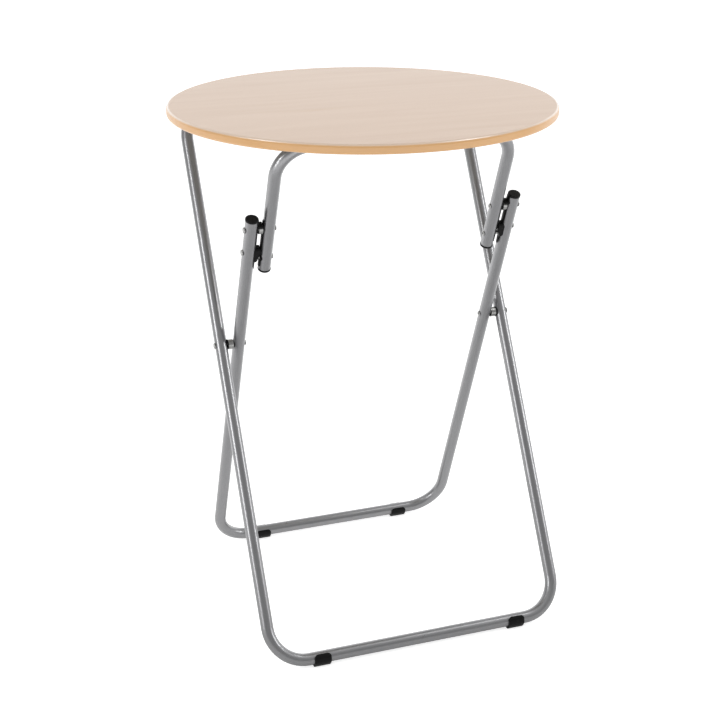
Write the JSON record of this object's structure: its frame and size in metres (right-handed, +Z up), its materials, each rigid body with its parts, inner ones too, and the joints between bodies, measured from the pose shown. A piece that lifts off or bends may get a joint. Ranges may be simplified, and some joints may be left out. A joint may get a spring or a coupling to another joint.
{
  "type": "folding tray table",
  "caption": "Round tray table on crossed folding tube legs, with a hinged support frame that latches to the inner legs and snap clips under the board.",
  "frame": {"origin": "on the floor, under the middle of the round board, with the table open", "axes": "+X along the bars towards the right side seen from the front, -Y the front, where the outer frame's foot bar stands, +Z up"},
  "size_m": [0.5, 0.5, 0.676],
  "materials": {
    "board_foil": "pale wood-look foil on fibreboard, satin",
    "outer_tube_paint": "silver-grey paint, satin gloss",
    "inner_tube_paint": "silver-grey paint, satin gloss",
    "support_tube_paint": "silver-grey paint, satin gloss",
    "foot_plastic": "black moulded plastic, matt",
    "plug_plastic": "black moulded plastic, matt",
    "latch_plastic": "black moulded plastic, matt",
    "hinge_plastic": "black moulded plastic, matt",
    "washer_plastic": "black plastic washer, matt",
    "rivet_steel": "zinc-plated, bright",
    "spacer_steel": "zinc-plated turned steel",
    "screw_steel": "zinc-plated"
  },
  "bodies": {
    "outer_legs": {"outer_leg_frame": "outer_tube_paint", "front_foot_left": "foot_plastic", "front_foot_right": "foot_plastic", "scissor_rivet_left": "rivet_steel", "scissor_rivet_right": "rivet_steel", "scissor_washer_left": "washer_plastic", "scissor_washer_right": "washer_plastic", "scissor_spacer_left": "spacer_steel", "scissor_spacer_right": "spacer_steel"},
    "inner_legs": {"inner_leg_frame": "inner_tube_paint", "rear_foot_left": "foot_plastic", "rear_foot_right": "foot_plastic", "inner_leg_plug_left": "plug_plastic", "inner_leg_plug_right": "plug_plastic", "latch_clip_left": "latch_plastic", "latch_clip_right": "latch_plastic", "latch_clip_rivet_left": "rivet_steel", "latch_clip_rivet_right": "rivet_steel"},
    "top_support": {"top_support_frame": "support_tube_paint", "support_plug_left": "plug_plastic", "support_plug_right": "plug_plastic", "fold_rivet_left": "rivet_steel", "fold_rivet_right": "rivet_steel", "fold_spacer_left": "spacer_steel", "fold_spacer_right": "spacer_steel", "latch_pin_left": "rivet_steel", "latch_pin_right": "rivet_steel", "keeper_plate_left": "latch_plastic", "keeper_plate_right": "latch_plastic"},
    "tabletop": {"tabletop_board": "board_foil", "hinge_screws": "screw_steel", "front_hinge_base_left": "hinge_plastic", "front_hinge_base_right": "hinge_plastic", "front_hinge_strap_left": "hinge_plastic", "front_hinge_strap_right": "hinge_plastic", "rear_clip_left": "hinge_plastic", "rear_clip_right": "hinge_plastic"}
  },
  "joints": [
    {"name": "scissor", "type": "hinge", "parent": "outer_legs", "child": "inner_legs", "pos_m": [0, -0.0099, 0.3717], "axis": [-1, 0, 0], "range_deg": [0, 52.8]},
    {"name": "support_fold", "type": "hinge", "parent": "inner_legs", "child": "top_support", "pos_m": [0, -0.08275, 0.54501], "axis": [1, 0, 0], "range_deg": [0, 180]},
    {"name": "top_hinge", "type": "hinge", "parent": "top_support", "child": "tabletop", "pos_m": [0, -0.12899, 0.655], "axis": [-1, 0, 0], "range_deg": [0, 67.2]}
  ],
  "couplings": [
    {"joint": "support_fold", "follows": "scissor", "ratio": 3.4091},
    {"joint": "top_hinge", "follows": "scissor", "ratio": 1.2727}
  ]
}
